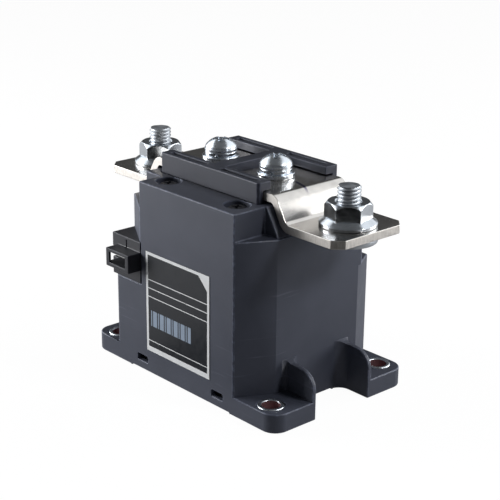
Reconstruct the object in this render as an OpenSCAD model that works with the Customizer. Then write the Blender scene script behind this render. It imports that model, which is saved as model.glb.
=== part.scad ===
// High voltage dc contactor: a sealed two pole switch in a dark moulded case.
// Millimetres. X runs along the label face, the label faces -Y, +Z is up, the feet stand on z = 0.
$fn = 64;

/* [Body] */
// Length between the two end walls
body_l = 71.8; // [70:0.2:80]
// Depth from the label face to the back face
body_d = 63.6; // [62:0.2:72]
// Height of the two screw shoulders
shoulder_h = 71.4; // [70:0.2:80]
// Step from the shoulders down to the side ledges
ledge_drop = 9.6; // [8:0.2:10.6]
// Height of the skirt above the seat of the feet
skirt_gap = 0.4; // [0.2:0.1:1]
// Diameter of the recesses over the housing screws
recess_d = 9.0; // [8.4:0.1:9.4]

/* [Feet] */
// Reach of the feet beyond the end walls
foot_reach = 13.5; // [12:0.1:18]
// Thickness of the feet
foot_h = 6.8; // [5:0.1:9]
// Width of each foot along Y
foot_w = 19.2; // [16:0.1:21]
// Corner radius of the feet
foot_r = 5.5; // [3:0.1:6]
// Bush centre from the outer end of its foot
bush_inset = 8.0; // [7:0.1:8.6]
// Outside diameter of the bushes
bush_od = 9.2; // [8.6:0.1:10]
// Bolt hole through the bushes
bush_id = 6.4; // [5.4:0.1:6.6]
// Height of the ribs that stand on the feet
rib_h = 17.2; // [14:0.2:22]

/* [Terminals] */
// Distance between the two terminal screws
terminal_pitch = 28.8; // [27:0.2:30]
// Distance between the two studs
stud_pitch = 98.2; // [94:0.2:106]
// Width of the busbars
busbar_w = 32; // [30:0.2:34]
// Thickness of the busbars
busbar_t = 3; // [2:0.1:3.2]
// Drop from the upper to the outer flat of a busbar
busbar_drop = 8.8; // [8.4:0.1:9.2]
// Clipped corner at the busbar tips
tip_cut = 3.4; // [2:0.1:6]
// Height of the terminal block above the shoulders
rim_h = 7.1; // [6.4:0.1:10]
// Nominal thread diameter of the studs
stud_d = 8; // [8:0.1:8.4]
// Stud length above the outer flat
stud_l = 13.4; // [12:0.1:18]

/* [Connector] */
// Height of the underside of the coil connector
conn_z = 33.2; // [30:0.2:35]
// Height of the coil connector
conn_h = 15.6; // [15.2:0.2:18]
// Reach of the latch frame in front of the label face
latch_reach = 5.4; // [4:0.1:8]

/* [Label] */
// Width of the label
label_w = 34.4; // [24:0.2:36]
// Height of the label
label_h = 37.6; // [24:0.2:42]

/* [Inside] */
// Outside diameter of the coil winding
coil_od = 47; // [40:0.5:47.5]
// Diameter of the plunger
plunger_d = 18; // [16:0.1:18.4]
// Air gap of the plunger, its full travel
travel = 2.5; // [2:0.1:3]
// Gap between the contacts at rest
contact_gap = 1.8; // [1.4:0.1:1.9]
// Diameter of the shaft
shaft_d = 5; // [4.6:0.1:5.4]

/* [Hidden] */
eps = 0.01;
// Radial play of a running fit and of a fit at rest
run = 0.06;
rest = 0.15;
// Wall of the case
wall = 2.4;
// Case outline: the shoulders end beside the terminal block, the end walls at the length of the body
xw = body_l / 2;
yf = body_d / 2;
z_sh = shoulder_h;
z_led = shoulder_h - ledge_drop;
xc = terminal_pitch / 2;
xt = xc + 11.3;
xs = xt + 3.3;
xq = xw - 14.8;
// Corner cuts along Y: front right, back, connector corner and upper back right
cut_fr = 13;
cut_bk = 11.9;
cut_cn = 9;
cut_up = 10.3;
xr = xq - 9.1;
z_step = 43.6;
// Terminal block
yt = busbar_w / 2 + 2.4;
z_flat = z_sh + 3.9;
z_rim = z_sh + rim_h;
z_out = z_flat - busbar_drop;
z_under = z_flat - busbar_t;
xst = stud_pitch / 2;
xtip = xst + 11.3;
barrier = 2.8;
lip_in = busbar_w / 2 - 3.2;
z_core = z_sh - 5;
// Housing screws, two on each shoulder
ys = yt + 5.2;
screw_at = [[-(xq - 6.5), -ys], [xs - 7.8, -ys], [xr - 6.5, ys], [-(xs - 7.8), ys]];
post_r = 3.9;
z_post = z_core - 12;
// Feet
xf = xw + foot_reach;
xbush = xf - bush_inset;
ybush = yf - 6;
y_rib = yf - foot_w;
rib_t = 1.6;
rib_r = min(6.5, foot_reach - 2);
rib_rise = 1;
fillet_r = 4;
flare_r = 1.8;
// Connector notch
xn = -xq + 0.5;
yn = -yf + 10.8;
z_n0 = conn_z;
z_n1 = conn_z + conn_h + 0.1;
// Cavity of the case
xi = xw - wall;
yi = yf - wall;
xu = xs - 2.1;
z_cav = z_led - 2.2;
z_top = z_sh - wall;
// Stack of the drive, from the base plate up
z_b0 = 1;
z_b1 = 3.4;
yoke_t = 3;
z_y1 = z_b1 + yoke_t;
z_p0 = 36.4;
z_p1 = z_p0 + yoke_t;
// Legs of the yoke midway between the coil and the case wall
xy = (coil_od / 2 + xi + yoke_t) / 2 + 0.5;
yy = yf - 13.3;
r_pl = plunger_d / 2;
r_sl = r_pl + run;
sleeve_t = 0.8;
z_sl = z_y1 + 0.2;
z_pad = z_sl + sleeve_t;
z_pl = z_pad + 1.3;
z_pl1 = 21.5;
z_fc = z_pl1 + travel;
seat_r = 5.6;
// Contact chamber
z_ch = z_p1 + 4.6;
z_ct = z_core - 0.4;
xch = xc + 10.1;
ych = yt - 3.9;
z_seat = z_p1 + 1;
z_seat1 = z_seat + 1.2;
z_br = z_seat1 + 5;
z_br1 = z_br + 3;
pad_h = 0.8;
z_cf = z_br1 + pad_h + contact_gap;
r_fc = 5.5;
// Snap hooks of the base plate
hook_x = xq - 0.5;
hook_w = 5.2;
win_w = 5.8;
win_z0 = 3.5;
win_z1 = 5.9;

// A box given by its two corners
module span(a, b) {
    translate(a)
        cube([b[0] - a[0], b[1] - a[1], b[2] - a[2]]);
}

// Copies a shape to both ends or both faces by a half turn about Z
module turned() {
    children();
    rotate([0, 0, 180])
        children();
}

// A tube standing on z0
module tube(ro, ri, z0, z1) {
    translate([0, 0, z0])
        difference() {
            cylinder(r = ro, h = z1 - z0);
            translate([0, 0, -1])
                cylinder(r = ri, h = z1 - z0 + 2);
        }
}

// Plan of the case: the front left corner, and above the step the back right one, are cut deeper
module case_plan(low) {
    polygon([[-xq, -yf], [xs, -yf], [xw, -yf + cut_fr],
        low ? [xw, yf - cut_bk] : [xw, yf - cut_up],
        low ? [xs, yf] : [xq, yf],
        [-xs, yf], [-xw, yf - cut_bk], [-xw, -yf + cut_cn]]);
}

// Plan of the cavity inside the case
module cavity_plan() {
    polygon([[-(xq - 2.7), -yi], [xq - 2.7, -yi], [xi, -yi + 9.2], [xi, yi - 9.2],
        [xq - 2.7, yi], [-(xq - 2.7), yi], [-xi, yi - 9.2], [-xi, -yi + 9.2]]);
}

// Side view of a rib, rounded at its outer top corner and rising where it meets the end wall
module rib_profile() {
    translate([xw - 2, 0])
        square([foot_reach + 2 - rib_r, rib_h]);
    translate([xw - 2, 0])
        square([foot_reach + 2, rib_h - rib_r]);
    translate([xf - rib_r, rib_h - rib_r])
        circle(r = rib_r);
    polygon([[xw - 2, rib_h - 1], [xw + 2.6, rib_h - 1], [xw + 2.6, rib_h],
        [xw, rib_h + rib_rise], [xw - 2, rib_h + rib_rise]]);
}

// Fillet of radius r between the end wall and the rib face at y, on the side where d points
module rib_fillet(y, r, d) {
    difference() {
        translate([0, y + (d > 0 ? r : rib_t / 2), 0])
            rotate([90, 0, 0])
                linear_extrude(r + rib_t / 2)
                    intersection() {
                        rib_profile();
                        translate([xw - 1, 0])
                            square([r + 1, rib_h + rib_rise]);
                    }
        translate([xw + r, y + d * r, -1])
            cylinder(r = r, h = rib_h + rib_rise + 2);
    }
}

// One foot at the front right, with its rib and the fillets between rib and end wall
module foot() {
    span([xw - 6, -yf + foot_r, 0], [xf, -y_rib, foot_h]);
    span([xs - 2, -yf, 0], [xf - foot_r, -y_rib, foot_h]);
    translate([xf - foot_r, -yf + foot_r, 0])
        cylinder(r = foot_r, h = foot_h);
    translate([0, -y_rib, 0])
        rotate([90, 0, 0])
            linear_extrude(rib_t)
                rib_profile();
    rib_fillet(-y_rib, fillet_r, 1);
    rib_fillet(-y_rib - rib_t, flare_r, -1);
}

// Sloped back under each busbar, between the shoulders
module ramp_block() {
    rotate([90, 0, 0])
        linear_extrude(2 * yt - 0.2, center = true)
            polygon([[-(xw - 0.5), z_led - 1], [xw - 0.5, z_led - 1], [xw - 0.5, z_led],
                [xs + 0.6, z_sh], [-(xs + 0.6), z_sh], [-(xw - 0.5), z_led]]);
}

module case_outer() {
    translate([0, 0, skirt_gap])
        linear_extrude(z_step - skirt_gap)
            case_plan(true);
    translate([0, 0, z_step])
        linear_extrude(z_led - z_step)
            case_plan(false);
    // pillar under the connector, with a rounded corner
    span([-xw - 0.3, -yf + 2.5, skirt_gap], [-xq + 1, -yf + 14, z_n0]);
    span([-xw + 2.2, -yf, skirt_gap], [-xq + 1, -yf + 14, z_n0]);
    translate([-xw + 2.2, -yf + 2.5, skirt_gap])
        cylinder(r = 2.5, h = z_n0 - skirt_gap);
    // front shoulder with a step at its left end, and back shoulder
    span([-xq, -yf, z_led - 1], [xs, -yt + 1, z_sh]);
    span([-xs - 0.6, -yt - 3.6, z_led - 1], [-xq + 1, -yt + 1, z_sh]);
    span([-xs, yt - 1, z_led - 1], [xr, yf, z_sh]);
    ramp_block();
    foot();
    mirror([1, 0, 0])
        foot();
    mirror([0, 1, 0])
        foot();
    rotate([0, 0, 180])
        foot();
}

module case_inner() {
    difference() {
        union() {
            translate([0, 0, -1])
                linear_extrude(z_cav + 1)
                    cavity_plan();
            // hollow of the pillar
            span([-xw + 2.2, -yi, z_b1 + 0.3], [-xq + 2, -yf + 14, z_n0 - 2]);
            span([-xu, -yt + 0.4, z_cav - 1], [xu, yt - 0.4, z_top]);
            span([-xq + 2.2, -yi, z_cav - 1], [xu, -yt + 1, z_top]);
            span([-xu, yt - 1, z_cav - 1], [xr - 2.2, yi, z_top]);
            // room for the screw posts of the terminal block
            for (p = screw_at)
                translate([p[0], p[1], z_post - 0.3])
                    cylinder(r = post_r + 0.3, h = z_cav - z_post + 0.3);
            // pockets for the snap hooks
            for (sx = [-1, 1], sy = [-1, 1])
                translate([sx * hook_x, sy * (yi - 1), 0])
                    cube([win_w, 2.6, 2 * (win_z1 + 0.8)], center = true);
        }
        // walls round the connector notch
        span([-xw - 1, -yf - 1, z_n0 - 2], [xn + 2, yn + 2, z_n1 + 2]);
        // bosses under the screw recesses
        for (p = screw_at)
            translate([p[0], p[1], z_core])
                cylinder(r = recess_d / 2 + 1.4, h = 20);
    }
}

module housing() {
    color([0.21, 0.22, 0.25])
        difference() {
            case_outer();
            case_inner();
            // seat of the connector and the way through for its pins
            span([-xw - 2, -yf - 1, z_n0], [xn, yn, z_n1]);
            span([xn - 1, yn - 6.4, z_n0 + 2.6], [xn + 3, yn - 1.6, z_n0 + 10.4]);
            // opening for the terminal block
            span([-xt - 0.3, -yt - 0.3, z_core - 0.1], [xt + 0.3, yt + 0.3, z_sh + 1]);
            for (p = screw_at)
                translate([p[0], p[1], 0]) {
                    translate([0, 0, z_sh - 3])
                        cylinder(d = recess_d, h = 4);
                    translate([0, 0, z_core - 1])
                        cylinder(d = 4.6, h = 4);
                }
            for (sx = [-1, 1], sy = [-1, 1]) {
                translate([sx * xbush, sy * ybush, -1])
                    cylinder(d = bush_od + 2 * rest, h = foot_h + 2);
                translate([sx * hook_x, sy * yf, (win_z0 + win_z1) / 2])
                    cube([win_w, 4 * wall, win_z1 - win_z0], center = true);
            }
        }
}

module terminal_half() {
    // slot for the busbar, open at the end
    span([barrier, -busbar_w / 2 - 0.2, z_under], [xt + 1, busbar_w / 2 + 0.2, z_flat + 0.3]);
    span([barrier, -lip_in, z_flat], [xt + 1, lip_in, z_rim + 1]);
    translate([xc, 0, z_core - 5])
        cylinder(r = 6.5 + rest, h = 20);
    for (sy = [-1, 1])
        translate([4.2, sy * (yt - 2.8) - 0.9, z_rim - 1.2])
            cube([terminal_pitch / 2 + 3.8, 1.8, 3]);
}

module terminal_block() {
    color([0.17, 0.17, 0.19])
        difference() {
            union() {
                span([-xt, -yt, z_core], [xt, yt, z_rim]);
                span([-xu + 0.3, -yt + 0.7, z_core - 3], [xu - 0.3, yt - 0.7, z_core]);
                span([-xq + 2.5, -yi + 0.6, z_core - 3], [xu - 0.3, -yt + 1, z_core]);
                span([-xu + 0.3, yt - 1, z_core - 3], [xr - 2.5, yi - 0.6, z_core]);
                for (p = screw_at)
                    translate([p[0], p[1], z_post])
                        cylinder(r = post_r, h = 10);
            }
            turned()
                terminal_half();
            // small bevels at the ends of the front wall
            for (sx = [-1, 1])
                translate([sx * xt, -yt, z_rim])
                    rotate([0, 0, 45])
                        cube([1, 1, 40], center = true);
            // room for the top of the arc chamber
            span([-xch - 0.4, -ych - 0.4, z_core - 4], [xch + 0.4, ych + 0.4, z_core]);
            for (p = screw_at)
                translate([p[0], p[1], z_core - 11])
                    cylinder(r = 2 + rest, h = 14);
        }
}

module hook() {
    span([-hook_w / 2, -yi + 0.3, z_b0], [hook_w / 2, -yi + 1.6, win_z1 + 0.4]);
    translate([-hook_w / 2, -yi + 0.4, 0])
        rotate([90, 0, 90])
            linear_extrude(hook_w)
                polygon([[0, win_z0 + 0.3], [0, win_z1 - 0.2], [-1.9, win_z1 - 0.5]]);
}

module base_plate() {
    color([0.13, 0.13, 0.14])
        union() {
            intersection() {
                translate([0, 0, z_b0])
                    linear_extrude(z_b1 - z_b0)
                        cavity_plan();
                span([-xi + 0.3, -yi + 0.3, 0], [xi - 0.3, yi - 0.3, 10]);
                translate([0, 0, z_b0])
                    linear_extrude(z_b1 - z_b0)
                        polygon([[-(xq - 3), -yi], [xq - 3, -yi], [xi, -yi + 9.6], [xi, yi - 9.6],
                            [xq - 3, yi], [-(xq - 3), yi], [-xi, yi - 9.6], [-xi, -yi + 9.6]]);
            }
            for (sx = [-1, 1], a = [0, 180])
                rotate([0, 0, a])
                    translate([sx * hook_x, 0, 0])
                        hook();
        }
}

module coil_connector() {
    x0 = -xw - 1.3;
    x1 = xn - 0.4;
    zc = z_n0 + 8.3;
    color([0.14, 0.14, 0.16])
        difference() {
            union() {
                span([x0, -yf, z_n0], [x1, yn, z_n1 - 0.1]);
                span([x0 + 3.1, -yf - latch_reach, zc - 3.4], [x1, -yf + eps, zc + 3.4]);
            }
            // plug cavity, open to the end
            span([x0 - 1, -yf + 1.5, z_n0 + 1.6], [x1 - 3.5, yn - 1.5, z_n0 + 11.8]);
            // latch tunnel, joined to the cavity, and the window in its front
            span([x0 - 1, -yf - latch_reach + 1, zc - 1.9], [x1 - 1.9, -yf + 2, zc + 2.1]);
            span([x0 + 5, -yf - latch_reach - 1, zc - 1.9], [x1 - 2, -yf - 1, zc + 2.1]);
            // slots of the two pins
            for (i = [0, 1])
                span([x1 - 5, yn - 5.4, z_n0 + 3.9 + 4.2 * i], [x1 + 1, yn - 2.6, z_n0 + 5.1 + 4.2 * i]);
            // sink marks on the front of the head
            span([x0 + 8.1, -yf - 1, z_n1 - 4.2], [x0 + 8.5, -yf + 0.5, z_n1 - 1.2]);
        }
}

module connector_pins() {
    color([0.72, 0.70, 0.66])
        for (i = [0, 1])
            span([-xw + 2.5, yn - 5.1, z_n0 + 4.1 + 4.2 * i], [xn + 3, yn - 2.9, z_n0 + 4.9 + 4.2 * i]);
}

// Wire from the end of a pin, up over the coil flange and down to the winding
module coil_leads() {
    color([0.62, 0.12, 0.10])
        for (i = [0, 1])
            translate([xn + 3.6, yn - 4, z_n0 + 4.5 + 4.2 * i]) {
                translate([-0.6, 0, 0])
                    rotate([0, 90, 0])
                        cylinder(d = 1, h = 2.6 + 2 * i, $fn = 24);
                translate([2 + 2 * i, 0, 0])
                    sphere(d = 1, $fn = 24);
                translate([2 + 2 * i, 0, -10 - 4.2 * i])
                    cylinder(d = 1, h = 10 + 4.2 * i, $fn = 24);
            }
}

module rating_label() {
    color([0.10, 0.10, 0.11])
        span([-label_w / 2 - 0.3, -yf - 0.2, 9.2], [label_w / 2 - 0.3, -yf, 9.2 + label_h]);
}

// Side profile of the right busbar: two flats joined by a joggle, bent tighter at its top
module busbar_profile() {
    th = 60;
    r_top = 1.5 + busbar_t;
    r_low = 2;
    run_z = busbar_drop - (r_top + r_low) * (1 - cos(th));
    run_l = run_z / sin(th);
    x1 = xs;
    x2 = x1 + (r_top + r_low) * sin(th) + run_l * cos(th);
    lap = 0.02;
    translate([barrier + 0.3, z_under])
        square([x1 - barrier - 0.3 + lap, busbar_t]);
    translate([x2 - lap, z_out - busbar_t])
        square([xtip - x2 + lap, busbar_t]);
    translate([x1, z_flat - r_top])
        intersection() {
            difference() {
                circle(r = r_top);
                circle(r = r_top - busbar_t);
            }
            polygon([[0, 0], [0, 20], [20 * tan(th), 20]]);
        }
    translate([x2, z_out + r_low])
        intersection() {
            difference() {
                circle(r = r_low + busbar_t);
                circle(r = r_low);
            }
            polygon([[0, 0], [0, -20], [-20 * tan(th), -20]]);
        }
    translate([x1 + r_top * sin(th), z_flat - r_top + r_top * cos(th)])
        rotate([0, 0, -th])
            translate([-lap, -busbar_t])
                square([run_l + 2 * lap, busbar_t]);
}

module busbar() {
    difference() {
        rotate([90, 0, 0])
            linear_extrude(busbar_w, center = true)
                busbar_profile();
        translate([xst, 0, z_out - 10])
            cylinder(d = stud_d + 2 * rest, h = 20);
        translate([xc, 0, z_under - 10])
            cylinder(d = 6.6, h = 20);
        for (sy = [-1, 1])
            translate([xtip, sy * busbar_w / 2, z_out])
                rotate([0, 0, 45])
                    cube([tip_cut * sqrt(2), tip_cut * sqrt(2), 20], center = true);
    }
}

module busbar_right() {
    color([0.80, 0.78, 0.73])
        busbar();
}

module busbar_left() {
    color([0.80, 0.78, 0.73])
        rotate([0, 0, 180])
            busbar();
}

module stud() {
    z0 = z_out - busbar_t;
    translate([xst, 0, 0]) {
        translate([0, 0, z0 - 2.4])
            cylinder(d = 20, h = 2.4);
        translate([0, 0, z0 - 0.1])
            cylinder(d = stud_d, h = busbar_t + stud_l - 0.4);
        translate([0, 0, z_out + stud_l - 0.5])
            cylinder(d1 = stud_d, d2 = stud_d - 1, h = 0.5);
    }
}

module terminal_stud_right() {
    color([0.66, 0.67, 0.68])
        stud();
}

module terminal_stud_left() {
    color([0.66, 0.67, 0.68])
        rotate([0, 0, 180])
            stud();
}

module flange_nuts() {
    af = 13.9;
    nut_h = 8.1;
    flange_d = 19.4;
    rim = 1.2;
    color([0.70, 0.71, 0.72])
        for (s = [-1, 1])
            translate([s * xst, 0, z_out])
                difference() {
                    union() {
                        intersection() {
                            rotate([0, 0, -16.5])
                                cylinder(d = af / cos(30), h = nut_h, $fn = 6);
                            cylinder(d1 = 30.4, d2 = 13.3, h = nut_h + 0.2);
                        }
                        cylinder(d = flange_d, h = rim);
                        translate([0, 0, rim])
                            cylinder(d1 = flange_d, d2 = 15, h = 1.6);
                    }
                    translate([0, 0, -1])
                        cylinder(d = stud_d + 2 * rest, h = 12);
                }
}

module terminal_flat_washers() {
    color([0.68, 0.69, 0.70])
        for (s = [-1, 1])
            translate([s * xc, 0, 0])
                tube(6.6, 3.3, z_flat, z_flat + 1.6);
}

module terminal_spring_washers() {
    color([0.60, 0.61, 0.63])
        for (s = [-1, 1])
            translate([s * xc, 0, 0])
                difference() {
                    tube(5.7, 3.2, z_flat + 1.6, z_flat + 3.2);
                    rotate([0, 0, -60])
                        translate([4.2, 0, z_flat + 2.4])
                            rotate([35, 0, 0])
                                cube([4, 0.5, 6], center = true);
                }
}

module terminal_screws() {
    head_r = 5.8;
    head_h = 4.8;
    ball = 6.6;
    color([0.72, 0.73, 0.74])
        for (s = [-1, 1])
            translate([s * xc, 0, z_flat + 3.2])
                difference() {
                    union() {
                        intersection() {
                            cylinder(r = head_r, h = head_h);
                            translate([0, 0, head_h - ball])
                                sphere(r = ball);
                        }
                        translate([0, 0, -14.4])
                            cylinder(d = 6, h = 15);
                    }
                    for (a = [45, 135])
                        rotate([0, 0, a])
                            translate([0, 0, head_h])
                                cube([7.6, 1.6, 4.6], center = true);
                }
}

module mounting_bushes() {
    color([0.72, 0.72, 0.73])
        for (sx = [-1, 1], sy = [-1, 1])
            translate([sx * xbush, sy * ybush, 0])
                tube(bush_od / 2, bush_id / 2, 0, foot_h + 0.3);
}

module housing_screws() {
    color([0.07, 0.07, 0.08])
        for (p = screw_at)
            translate([p[0], p[1], z_sh - 3])
                difference() {
                    union() {
                        cylinder(r = 3.5, h = 1.6);
                        translate([0, 0, 1.6])
                            cylinder(r1 = 3.5, r2 = 2.6, h = 0.7);
                        translate([0, 0, -11])
                            cylinder(d = 4, h = 11.5);
                    }
                    for (a = [35, 125])
                        rotate([0, 0, a])
                            translate([0, 0, 2.3])
                                cube([4, 0.8, 2.8], center = true);
                }
}

// Tapped post of one pole: its lower end is the contact face
module fixed_contact() {
    translate([xc, 0, 0])
        difference() {
            union() {
                translate([0, 0, z_cf])
                    cylinder(r = r_fc, h = z_core - z_cf);
                translate([0, 0, z_ct])
                    cylinder(r = 6.5, h = z_under - z_ct);
            }
            translate([0, 0, z_under - 12])
                cylinder(r = 3 + rest, h = 14);
        }
}

module fixed_contact_right() {
    color([0.72, 0.45, 0.30])
        fixed_contact();
}

module fixed_contact_left() {
    color([0.72, 0.45, 0.30])
        rotate([0, 0, 180])
            fixed_contact();
}

module arc_chamber() {
    color([0.90, 0.89, 0.85])
        difference() {
            span([-xch, -ych, z_ch], [xch, ych, z_ct]);
            span([-xch + 2.6, -ych + 3, z_ch - 1], [xch - 2.6, ych - 3, z_ct - 4]);
            for (s = [-1, 1])
                translate([s * xc, 0, z_ch])
                    cylinder(r = r_fc + rest, h = 40);
        }
}

module chamber_flange() {
    color([0.62, 0.62, 0.60])
        difference() {
            union() {
                span([-xch - 0.4, -ych - 0.4, z_p1], [xch + 0.4, ych + 0.4, z_p1 + 0.8]);
                span([-xch + 0.6, -ych + 0.6, z_p1], [xch - 0.6, ych - 0.6, z_ch]);
            }
            span([-xch + 1.6, -ych + 1.6, z_p1 - 1], [xch - 1.6, ych - 1.6, z_ch + 1]);
        }
}

module blowout_magnets() {
    color([0.30, 0.30, 0.32])
        for (s = [-1, 1])
            translate([0, s * (ych + 1.55), (z_ch + z_cav) / 2])
                cube([30, 2.5, 12], center = true);
}

module magnet_yoke() {
    zm = (z_ch + z_cav) / 2;
    color([0.48, 0.49, 0.51])
        difference() {
            span([-xch - 2.6, -ych - 4.2, zm - 6], [xch + 2.6, ych + 4.2, zm + 6]);
            span([-xch - 1.2, -ych - 2.8, zm - 7], [xch + 1.2, ych + 2.8, zm + 7]);
        }
}

module moving_contact_bridge() {
    color([0.74, 0.47, 0.31])
        difference() {
            union() {
                span([-xc - 5.4, -6, z_br], [xc + 5.4, 6, z_br1]);
                for (s = [-1, 1])
                    translate([s * xc, 0, z_br1 - 0.1])
                        cylinder(r = 4.2, h = pad_h + 0.1);
            }
            translate([0, 0, z_br - 1])
                cylinder(d = shaft_d + 2 * run, h = 10);
        }
}

// Round wire wound on radius r between z0 and z1
module coil_of_wire(r, wire, z0, z1, turns) {
    sides = 8;
    steps = 18 * turns;
    w = wire / 2;
    pts = [for (i = [0:steps], j = [0:sides - 1])
        let (a = 360 * turns * i / steps, b = 360 * j / sides, q = r + w * cos(b))
            [q * cos(a), q * sin(a), z0 + w + (z1 - z0 - wire) * i / steps + w * sin(b)]];
    quads = [for (i = [0:steps - 1], j = [0:sides - 1])
        let (k = (j + 1) % sides)
            [i * sides + j, i * sides + k, (i + 1) * sides + k, (i + 1) * sides + j]];
    first = [for (j = [0:sides - 1]) sides - 1 - j];
    last = [for (j = [0:sides - 1]) steps * sides + j];
    polyhedron(points = pts, faces = concat(quads, [first, last]), convexity = 10);
}

module contact_spring() {
    color([0.62, 0.63, 0.64])
        coil_of_wire(4.6, 1.1, z_seat1, z_br, 3);
}

module spring_seat() {
    color([0.58, 0.58, 0.56])
        tube(6.2, shaft_d / 2 + rest / 3, z_seat, z_seat1);
}

module retaining_clip() {
    color([0.50, 0.50, 0.52])
        difference() {
            tube(4.2, shaft_d / 2 + rest / 3, z_br1, z_br1 + 0.9);
            span([0, -1, z_br1 - 1], [10, 1, z_br1 + 2]);
        }
}

module shaft() {
    color([0.66, 0.66, 0.67])
        union() {
            translate([0, 0, z_pl + 1])
                cylinder(d = shaft_d, h = z_br1 + 1.4 - z_pl - 1);
            translate([0, 0, z_br1 + 1.4])
                cylinder(d1 = shaft_d, d2 = shaft_d - 0.8, h = 0.4);
        }
}

module plunger() {
    color([0.56, 0.56, 0.57])
        difference() {
            translate([0, 0, z_pl])
                cylinder(r = r_pl, h = z_pl1 - z_pl);
            translate([0, 0, z_pl1 - 5])
                cylinder(r = seat_r, h = 6);
            translate([0, 0, z_pl + 1])
                cylinder(d = shaft_d + 0.1, h = 30);
        }
}

module return_spring() {
    color([0.62, 0.63, 0.64])
        coil_of_wire(4.6, 1, z_pl1 - 5, z_fc + 8, 6);
}

module fixed_core() {
    color([0.54, 0.54, 0.55])
        difference() {
            translate([0, 0, z_fc])
                cylinder(r = r_pl - rest, h = z_p1 - z_fc);
            translate([0, 0, z_fc - 1])
                cylinder(r = seat_r, h = 9);
            translate([0, 0, z_fc])
                cylinder(d = shaft_d + 2 * run, h = 30);
        }
}

module plunger_sleeve() {
    color([0.64, 0.64, 0.63])
        difference() {
            translate([0, 0, z_sl])
                cylinder(r = r_sl + sleeve_t, h = z_p0 - z_sl);
            translate([0, 0, z_pad])
                cylinder(r = r_sl, h = 60);
        }
}

module damper_pad() {
    color([0.08, 0.08, 0.08])
        translate([0, 0, z_pad])
            cylinder(r = r_pl - 1, h = z_pl - z_pad);
}

module bobbin() {
    ri = r_sl + sleeve_t + rest;
    z0 = z_y1;
    z1 = z_p0;
    color([0.86, 0.84, 0.78])
        union() {
            tube(ri + 1.6, ri, z0, z1);
            tube(coil_od / 2 + 1.4, ri, z0, z0 + 1.6);
            tube(coil_od / 2 + 1.4, ri, z1 - 1.6, z1);
        }
}

module coil_winding() {
    color([0.66, 0.36, 0.20])
        tube(coil_od / 2, r_sl + sleeve_t + 1.6 + 2 * rest, z_y1 + 1.7, z_p0 - 1.7);
}

module yoke_frame() {
    color([0.50, 0.51, 0.53])
        difference() {
            span([-xy, -yy, z_b1], [xy, yy, z_p0]);
            span([-xy + yoke_t, -yy - 1, z_y1], [xy - yoke_t, yy + 1, z_p0 + 1]);
        }
}

module yoke_plate() {
    color([0.50, 0.51, 0.53])
        difference() {
            span([-xy, -yy, z_p0], [xy, yy, z_p1]);
            translate([0, 0, z_p0 - 1])
                cylinder(r = r_pl, h = 10);
        }
}

housing();
terminal_block();
base_plate();
coil_connector();
connector_pins();
coil_leads();
rating_label();
busbar_left();
busbar_right();
terminal_stud_left();
terminal_stud_right();
flange_nuts();
terminal_screws();
terminal_spring_washers();
terminal_flat_washers();
mounting_bushes();
housing_screws();
fixed_contact_left();
fixed_contact_right();
arc_chamber();
chamber_flange();
blowout_magnets();
magnet_yoke();
moving_contact_bridge();
contact_spring();
spring_seat();
retaining_clip();
shaft();
plunger();
return_spring();
fixed_core();
plunger_sleeve();
damper_pad();
bobbin();
coil_winding();
yoke_frame();
yoke_plate();
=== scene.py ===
import math

import bpy
from bpy.props import FloatProperty, FloatVectorProperty, PointerProperty
from mathutils import Matrix, Vector


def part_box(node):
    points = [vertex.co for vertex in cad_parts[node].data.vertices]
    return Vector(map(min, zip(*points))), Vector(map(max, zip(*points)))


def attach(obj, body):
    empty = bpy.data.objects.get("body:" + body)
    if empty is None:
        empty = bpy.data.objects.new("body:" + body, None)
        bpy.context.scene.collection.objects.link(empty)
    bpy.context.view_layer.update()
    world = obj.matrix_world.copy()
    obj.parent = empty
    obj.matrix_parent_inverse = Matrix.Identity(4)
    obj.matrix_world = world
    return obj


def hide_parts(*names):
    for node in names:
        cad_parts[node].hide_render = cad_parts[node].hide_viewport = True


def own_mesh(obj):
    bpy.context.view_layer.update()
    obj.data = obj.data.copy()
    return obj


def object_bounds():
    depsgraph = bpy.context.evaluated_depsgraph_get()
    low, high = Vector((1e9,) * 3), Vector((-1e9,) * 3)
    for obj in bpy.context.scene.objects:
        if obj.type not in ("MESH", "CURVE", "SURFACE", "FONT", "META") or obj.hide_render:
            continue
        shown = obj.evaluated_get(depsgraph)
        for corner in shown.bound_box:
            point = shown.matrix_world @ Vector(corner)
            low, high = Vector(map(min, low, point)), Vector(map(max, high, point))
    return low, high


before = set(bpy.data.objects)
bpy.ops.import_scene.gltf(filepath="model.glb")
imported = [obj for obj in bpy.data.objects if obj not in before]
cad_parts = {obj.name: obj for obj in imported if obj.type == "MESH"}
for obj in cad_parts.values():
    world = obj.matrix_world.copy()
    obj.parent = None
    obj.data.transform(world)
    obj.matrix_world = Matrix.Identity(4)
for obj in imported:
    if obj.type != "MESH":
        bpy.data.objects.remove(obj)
CAD_BOX = [list(corner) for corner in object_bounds()]

bl_info = {
    "name": "High voltage dc contactor",
    "version": (1, 0, 0),
    "blender": (4, 5, 0),
    "location": "View3D > Sidebar > Contactor",
    "description": "Dresses the contactor: moulded case, plated busbars, studs and fasteners, bare label",
    "category": "Object",
}

MM = 0.001
UP = Vector((0.0, 0.0, 1.0))

# Faces round a turned piece, and steps round one turn of a thread
SIDES = 64
THREAD_STEPS = 36

# Edges that turn by more than this are rounded, and faces within the other angle become one
SHARP = math.radians(24)
FLAT = math.radians(0.5)

# Points closer than this become one
WELD = 0.002 * MM
THREAD_WELD = 0.005 * MM

# Where most values of a noise lie
NOISE_SPAN = 0.3, 0.7


# Settings

def tone(red, green, blue):
    """A colour as it looks on a screen, 0 to 255, as linear values with alpha."""
    def linear(value):
        share = value / 255
        return share / 12.92 if share <= 0.04045 else ((share + 0.055) / 1.055) ** 2.4
    return linear(red), linear(green), linear(blue), 1.0


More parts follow.
